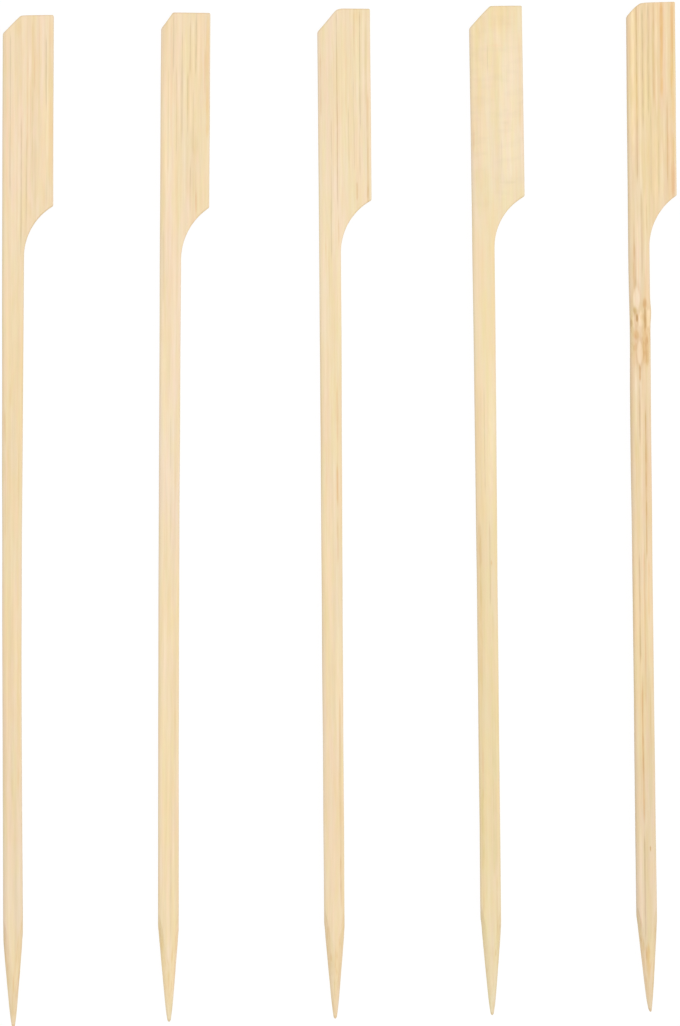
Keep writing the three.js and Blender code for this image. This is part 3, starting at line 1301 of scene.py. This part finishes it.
PLAIN_THREE = Bamboo(
    slot="bamboo_plain",
    tones={
        0.0: "ead3af", 0.10: "eed5ac", 0.45: "efd7af", 0.60: "eed6ac", 0.70: "f0d9af",
        0.84: "f0d9b3",
    },
    seed=15.1,
    marks={
        Tint.SHADE: ((3.4, 0.16, 144, 179.4, 0.8), (1.75, 0.15, 3.4, 7, 0.5, 0.8)),
        Tint.BROWN: (
            (3.44, 0.13, 149.3, 165, 0.3), (8.88, 0.3, 145, 164.6, 0.45),
            (6.85, 0.2, 145.8, 148.9, 0.5, 0.4), (8.8, 0.24, 146, 148.3, 0.35, 0.6),
            (0.48, 0.28, 160.5, 171.5, 0.4), (3.5, 0.18, 137.5, 142.6, 0.35),
            (2.95, 0.24, 81.2, 88.5, 0.35), (3.03, 0.24, 20, 57, 0.3), (2.97, 0.24, 22.5, 29.2, 0.3),
            (1.97, 0.15, 8.4, 12.8, 0.3),
        ),
        Tint.GREY: (
            (7.51, 0.17, 158.5, 179.4, 0.9), (7.39, 0.16, 150, 158.5, 0.55),
            (6.39, 0.16, 151.2, 167, 0.45), (5.41, 0.16, 152, 162.5, 0.45), (2.37, 0.16, 143, 160.5, 0.5),
            (6.48, 0.16, 171, 179.4, 0.35), (2.25, 0.17, 135.8, 145.8, 0.6),
        ),
        Tint.OLIVE: ((8.61, 0.28, 163, 177, 0.7), (0.95, 0.6, 52, 76, 0.45, 4)),
        Tint.ORANGE: ((7.4, 1.9, 177.6, 179.6, 0.2, 1.2),),
        Tint.PALE: (
            (8.11, 0.2, 146, 179.4, 0.5), (4.05, 0.2, 146, 170.8, 0.55), (2.95, 0.2, 146, 164.8, 0.5),
            (6.97, 0.2, 152, 178.2, 0.4), (5.85, 0.2, 152.2, 167.2, 0.35), (2.79, 0.2, 136, 146.5, 0.5),
            (2.8, 0.7, 50, 70, 0.3, 4), (2.35, 0.22, 80.5, 99, 0.35),
        ),
        Tint.RUST: (
            (1.22, 0.18, 135, 138.6, 0.6), (3.04, 0.26, 103, 112.8, 0.6), (2.94, 0.26, 91.4, 98.5, 0.9),
        ),
    },
)
CROSS_FIGURED = Bamboo(
    slot="bamboo_cross_figured",
    tones={
        0.0: "e9d9b5", 0.12: "ebd5a8", 0.17: "ead3a3", 0.50: "ecd6a8", 0.64: "f0d8ae",
        0.76: "efd8aa", 0.84: "f0dab6", 0.97: "f0dbb1",
    },
    seed=22.9,
    contrast=0.4,
    lines=0.15,
    crossing=0.6,
    marks={
        Tint.ORANGE: (
            (2, 1.3, 174.4, 178.6, 0.35, 1.2), (1.2, 1.3, 147, 176, 0.26, 3),
            (5.5, 4, 175.5, 181, 0.3, 1.5), (8.9, 0.3, 158, 175, 0.3), (0.55, 0.5, 56.2, 87.3, 0.45, 4),
        ),
        Tint.OLIVE: (
            (2.8, 0.6, 26, 48, 0.4, 3), (1.8, 1.9, 143, 151, 0.4, 2), (4.7, 0.7, 146, 172, 0.34),
            (0.72, 0.3, 73, 79, 0.5), (2.75, 0.22, 66.8, 72, 0.6), (2.5, 0.2, 25, 66, 0.4),
            (0.6, 0.35, 25.9, 40.1, 0.6),
        ),
        Tint.BROWN: (
            (0.48, 0.28, 154, 158.5, 0.3), (0.62, 0.24, 18, 21.8, 0.35), (3.05, 0.24, 11, 24.5, 0.25),
        ),
        Tint.GREY: (
            (3.17, 0.16, 168, 173, 0.45), (5.4, 0.16, 150.2, 156, 0.35),
            (6.4, 2.4, 148.2, 148.6, 0.35, 0.35), (6.3, 1.1, 158.8, 159.2, 0.2, 0.4),
            (6.3, 1.1, 161, 161.4, 0.2, 0.4), (2.4, 0.9, 153.4, 153.8, 0.2, 0.4),
            (1.68, 0.16, 93.5, 111.8, 0.5),
        ),
        Tint.PALE: (
            (7, 2.2, 149.5, 173, 0.38, 3), (6.5, 1, 144, 158, 0.18, 2), (2.8, 0.8, 94, 118, 0.35, 3),
            (4.93, 0.2, 173.6, 178.5, 0.4), (2.9, 0.9, 88, 109, 0.55, 4), (1.51, 0.25, 17.5, 43, 0.3),
        ),
        Tint.ROSE: ((4.6, 2.2, 172.6, 173, 0.7, 0.25),),
        Tint.SHADE: (
            # The broad streak at 0.85 mm along the shaft is painted shade: the shaft's back edge, away from
            # the lamp, is made darker.
            (0.85, 0.75, 20, 112, 0.15, 3), (0.66, 0.36, 79.9, 88, 0.45), (2.38, 0.18, 73.2, 87.5, 0.6),
        ),
        Tint.RUST: ((2.66, 0.2, 80.2, 81.1, 0.9, 0.4), (0.76, 0.2, 38.5, 47.8, 0.5)),
    },
)
NODED = Bamboo(
    slot="bamboo_noded",
    tones={
        0.0: "e6cfab", 0.12: "e6ceaa", 0.39: "eacfa1", 0.50: "eacfa8", 0.59: "e9cea3",
        0.76: "edd3ac", 0.84: "ecd1a4", 0.92: "edd1a2",
    },
    seed=31.3,
    contrast=0.8,
    hue=1.0,
    lines=0.4,
    # A stronger back-edge band on this strip: its skin colour, plus more painted shade on the edge away from
    # the lamp.
    skin=0.8,
    node=CulmNode(),
    lenses=(Lens(1.36, 127, 0.66, 2.4, 0.9, 0.25), Lens(1.85, 117.4, 0.56, 2.3, 1.0, 0.35)),
    marks={
        Tint.PALE: (
            (1.1, 0.32, 149.8, 179.4, 0.8), (1.2, 0.95, 155, 179.4, 0.75, 3),
            (5.1, 0.9, 145, 157, 0.55, 2), (2.37, 0.22, 146, 179, 0.8), (3.33, 0.2, 159.8, 178.2, 0.8),
            (4.31, 0.18, 162, 179.2, 0.7), (5.32, 0.24, 160, 179.2, 0.9), (6.14, 0.2, 145, 154.8, 0.5),
            (6.59, 0.2, 153.8, 161.5, 0.5), (7.15, 0.25, 163, 179.2, 0.7), (7.67, 0.18, 149.8, 159, 0.4),
            (2.93, 0.22, 131, 146, 0.7), (1.66, 0.25, 129.5, 140.5, 0.7), (2.1, 0.42, 122, 124.8, 1, 0.5),
            (2.1, 0.5, 122.2, 124.6, 1, 0.5), (0.82, 0.32, 122, 123.9, 0.8, 0.4),
            (0.85, 0.3, 122, 123.9, 0.7, 0.4), (3.48, 0.4, 121.9, 125.1, 0.9, 0.5),
            (3.5, 0.35, 121.9, 125.1, 0.8, 0.5), (1.05, 0.35, 109.5, 114.6, 0.4, 1.2),
            (2.6, 0.35, 109.5, 114.4, 0.45, 1.2), (1.04, 0.25, 101, 113, 0.7), (2.03, 0.25, 63, 112, 0.7),
            (2.88, 0.22, 61, 84, 0.5), (2.8, 0.6, 62, 78, 0.35, 2.5), (2.1, 0.22, 33, 55, 0.5),
            (1, 0.25, 15.2, 59.5, 0.4), (1.24, 0.2, 6.5, 9.2, 0.5, 0.6),
        ),
        Tint.SHADE: (
            (1.77, 0.2, 148, 160, 0.85), (1.77, 0.23, 166, 179.6, 0.85), (2.41, 0.22, 131.2, 146, 0.5),
            (3.3, 0.18, 139, 144, 0.5), (1.44, 0.26, 123, 124, 1, 0.35),
            (0.36, 0.34, 122.2, 123.3, 0.6, 0.4), (2.88, 0.27, 121.8, 125.2, 0.85, 0.5),
            (1.72, 0.19, 101.5, 112, 0.9), (1.35, 0.22, 62.5, 81.5, 0.95), (1.66, 0.2, 42, 60, 0.5),
            (1.66, 0.2, 13, 31.2, 0.8), (0.95, 0.55, 33, 47, 0.3, 3),
        ),
        Tint.BROWN: (
            (1.77, 0.2, 160, 167, 0.55), (4.79, 0.24, 160.8, 179.6, 0.45), (7.14, 0.2, 148, 161.8, 0.5),
            (1.05, 0.42, 128.8, 136.5, 0.6), (1.01, 0.2, 133.5, 140.5, 0.35),
            (2.82, 0.5, 125.2, 126.8, 0.6, 0.7), (2.86, 0.3, 121.6, 125.4, 0.38, 0.6),
            (1.05, 0.45, 124.4, 125.5, 0.42, 0.5), (1.44, 0.3, 122.9, 124.3, 0.95, 0.35),
            (0.36, 0.34, 122.2, 123.3, 0.35, 0.4), (1.3, 0.42, 119.8, 121.4, 0.5, 0.7),
            (3.15, 0.42, 115.2, 120.3, 0.7, 0.8), (1.83, 0.24, 112.4, 115.2, 1, 0.6),
            (2.72, 0.19, 81, 107, 0.75), (2.69, 0.16, 28.6, 29.5, 1, 0.3),
            (1.72, 0.18, 9.2, 11.8, 0.6, 0.6),
        ),
        Tint.GREY: (
            (2.83, 0.23, 157.8, 178.5, 0.85), (3.82, 0.23, 160, 179.6, 0.8), (4.18, 0.17, 146, 160, 0.5),
            (5.55, 0.18, 145, 155.8, 0.65),
        ),
        Tint.ORANGE: (
            (6.2, 0.4, 163, 179.8, 0.9), (7.7, 0.8, 144, 157, 0.45, 2), (8.05, 0.4, 162.3, 179.8, 0.85),
            (8.25, 0.35, 151.5, 163.2, 0.45), (1.25, 0.8, 119.9, 121.5, 0.6, 0.5),
            (1, 0.45, 115, 119.4, 0.3, 0.9), (3.01, 0.26, 69.7, 80.4, 0.5), (2.1, 0.4, 5.8, 12, 0.95),
        ),
        Tint.RUST: (
            (6.2, 0.4, 170.5, 179.8, 0.45), (8.05, 0.35, 169.5, 179.8, 0.35),
            (8.1, 0.5, 145.3, 151.7, 0.9), (2.84, 0.52, 125.4, 127.2, 0.75, 0.6),
            (2.88, 0.68, 119.4, 121.4, 0.45, 0.7), (2.7, 0.45, 115.5, 119.6, 0.7, 0.9),
            (2.2, 0.24, 55, 82, 0.6), (1.64, 0.24, 34, 58, 0.9),
        ),
        Tint.ROSE: ((3.1, 0.6, 126.8, 132.5, 0.8), (1.85, 0.45, 115.8, 119, 0.25, 0.8)),
        Tint.OLIVE: ((1.12, 0.55, 124.4, 125.6, 1, 0.5),),
    },
)

SKEWERS = (
    Skewer(
        name="skewer_1",
        finish=PLAIN_ONE,
        cut=Cut(1.002, 0.995, 0.991, 1.067, 0.957, 0.981, 1.0, 0.962),
        aside=-0.014,
        lean=0.0,
        bow_share=-0.0011,
        turn_degrees=0.05,
        top=(-0.05, 0.08),
        waist=(0.02, 0.29),
        droop=0.06,
    ),
    Skewer(
        name="skewer_2",
        finish=PLAIN_TWO,
        cut=Cut(0.999, 0.962, 1.009, 0.7, 0.812, 1.047, 0.974, 1.011),
        aside=0.033,
        lean=0.3,
        bow_share=-0.0007,
        turn_degrees=-0.18,
        top=(0.12, 0.04),
        waist=(-0.02, 0.08),
        tip=-0.09,
    ),
    Skewer(
        name="skewer_3",
        finish=PLAIN_THREE,
        cut=Cut(0.998, 1.036, 0.988, 1.15, 1.13, 0.981, 1.013, 0.997),
        aside=0.014,
        lean=0.0,
        bow_share=0.0003,
        turn_degrees=0.44,
        top=(0.28, 0.13),
        waist=(-0.03, 0.08),
        droop=0.2,
        tip=0.08,
    ),
    Skewer(
        name="skewer_4",
        finish=CROSS_FIGURED,
        cut=Cut(1.0, 1.038, 0.994, 1.25, 1.188, 0.963, 1.031, 1.003),
        aside=0.027,
        lean=0.0,
        bow_share=0.0007,
        turn_degrees=0.72,
        top=(-0.13, -0.17),
        waist=(0.02, 0.12),
        droop=0.05,
        tip=-0.055,
    ),
    Skewer(
        name="skewer_5",
        finish=NODED,
        cut=Cut(1.002, 0.956, 1.02, 0.867, 0.899, 1.019, 0.982, 1.022),
        aside=0.099,
        lean=1.0,
        bow_share=-0.0008,
        turn_degrees=0.65,
        top=(-0.60, -0.46),
        waist=(0.13, 0.06),
        shoulders=(0.14, 0.05),
        droop=0.08,
        slant=0.9,
    ),
)


@dataclass(frozen=True)
class Studio:
    """The white table, the soft light and the camera overhead, in metres."""

    view_centre: tuple[float, float] = (0.000116, 0.000045)
    view_height: float = 0.18274
    lens: float = 500.0
    sensor: float = 36.0
    floor_size: float = 8.0
    floor_shade: float = 0.09
    floor_glow: float = 0.93
    floor_bounce: float = 0.80
    sky_top: float = 1.01
    sky_edge: float = 0.84
    sky_colour: Colour = (0.985, 0.995, 1.02, 1.0)
    key_power: float = 1.7
    key_colour: tuple[float, float, float] = (1.0, 0.985, 0.95)
    key_size: float = 0.6
    key_distance: float = 1.2
    key_elevation: float = 48.0
    key_azimuth: float = 18.0

    def build(self) -> None:
        """Set up the camera, the floor, the sky and the lamp."""
        self._camera()
        self._floor()
        self._sky()
        self._lamp()
        bpy.context.scene.view_settings.view_transform = "Standard"

    def _camera(self) -> None:
        """Hang the camera straight above the row."""
        data = bpy.data.cameras.new("overhead_camera")
        data.lens = self.lens
        data.sensor_width = self.sensor
        camera = bpy.data.objects.new("overhead_camera", data)
        height = self.view_height * self.lens / self.sensor + USUAL.thickness
        camera.location = (*self.view_centre, height)
        bpy.context.scene.collection.objects.link(camera)
        bpy.context.scene.camera = camera

    def _floor(self) -> None:
        """Lay a white table that keeps a faint shadow and glows only where it is seen."""
        bm = bmesh.new()
        bmesh.ops.create_grid(bm, x_segments=1, y_segments=1, size=self.floor_size / 2)
        mesh = bpy.data.meshes.new("table")
        bm.to_mesh(mesh)
        bm.free()
        floor = bpy.data.objects.new("table", mesh)
        bpy.context.scene.collection.objects.link(floor)

        material = bpy.data.materials.new("white_table")
        graph = cleared(material)
        shaded = graph.add("ShaderNodeBsdfDiffuse", grey(self.floor_shade))
        glow = graph.add("ShaderNodeEmission", WHITE, self.floor_glow)
        glowing = graph.add("ShaderNodeAddShader", shaded.outputs[0], glow.outputs[0])
        plain = graph.add("ShaderNodeBsdfDiffuse", grey(self.floor_bounce))
        graph.add("ShaderNodeOutputMaterial", self._choose(graph, plain, glowing))
        mesh.materials.append(material)

    @staticmethod
    def _choose(graph: Graph, light: bpy.types.Node, seen: bpy.types.Node) -> Socket:
        """Take one shader for plain light, and another where it is looked at or mirrored.

        Args:
            graph: The nodes.
            light: The shader's node for plain light.
            seen: The shader's node for what the camera, a reflection or a clear body sees.

        Returns:
            The chosen shader's socket.
        """
        path = graph.add("ShaderNodeLightPath").outputs
        mirrored = graph.math("MAXIMUM", path["Is Glossy Ray"], path["Is Transmission Ray"])
        looked_at = graph.math("MAXIMUM", path["Is Camera Ray"], mirrored)
        chosen = graph.add("ShaderNodeMixShader", looked_at, light.outputs[0], seen.outputs[0])
        return chosen.outputs[0]

    def _sky(self) -> None:
        """Light the row softly from all round, most from above, before a white backdrop."""
        world = bpy.data.worlds.new("soft_sky")
        bpy.context.scene.world = world
        graph = cleared(world)
        _, _, up = graph.split(graph.add("ShaderNodeTexCoord").outputs["Generated"])
        strength = graph.rise(up, 0.0, 1.0, to=(self.sky_edge, self.sky_top))
        light = graph.add("ShaderNodeBackground", self.sky_colour, strength)
        white = graph.add("ShaderNodeBackground", WHITE)
        graph.add("ShaderNodeOutputWorld", self._choose(graph, light, white))

    def _lamp(self) -> None:
        """Hang one soft lamp on the right, a little towards the grips."""
        data = bpy.data.lights.new("soft_lamp", "AREA")
        data.shape = "DISK"
        data.size = self.key_size
        data.energy = self.key_power
        data.color = self.key_colour
        lamp = bpy.data.objects.new("soft_lamp", data)
        rise, side = math.radians(self.key_elevation), math.radians(self.key_azimuth)
        flat = math.cos(rise)
        away = Vector((flat * math.cos(side), flat * math.sin(side), math.sin(rise)))
        lamp.location = away * self.key_distance
        lamp.rotation_mode = "QUATERNION"
        lamp.rotation_quaternion = away.to_track_quat("Z", "Y")
        bpy.context.scene.collection.objects.link(lamp)


def main() -> None:
    """Build the studio and the five skewers, and report each piece."""
    logging.basicConfig(level=logging.INFO, format="%(name)s: %(message)s")
    Studio().build()
    for skewer in SKEWERS:
        piece = skewer.build()
        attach(piece, skewer.name)
        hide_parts(skewer.name)
        skewer.finish.slot
        mesh = piece.data
        log.info("%s has %d points and %d faces", piece.name, len(mesh.vertices), len(mesh.polygons))


if __name__ == "__main__":
    main()
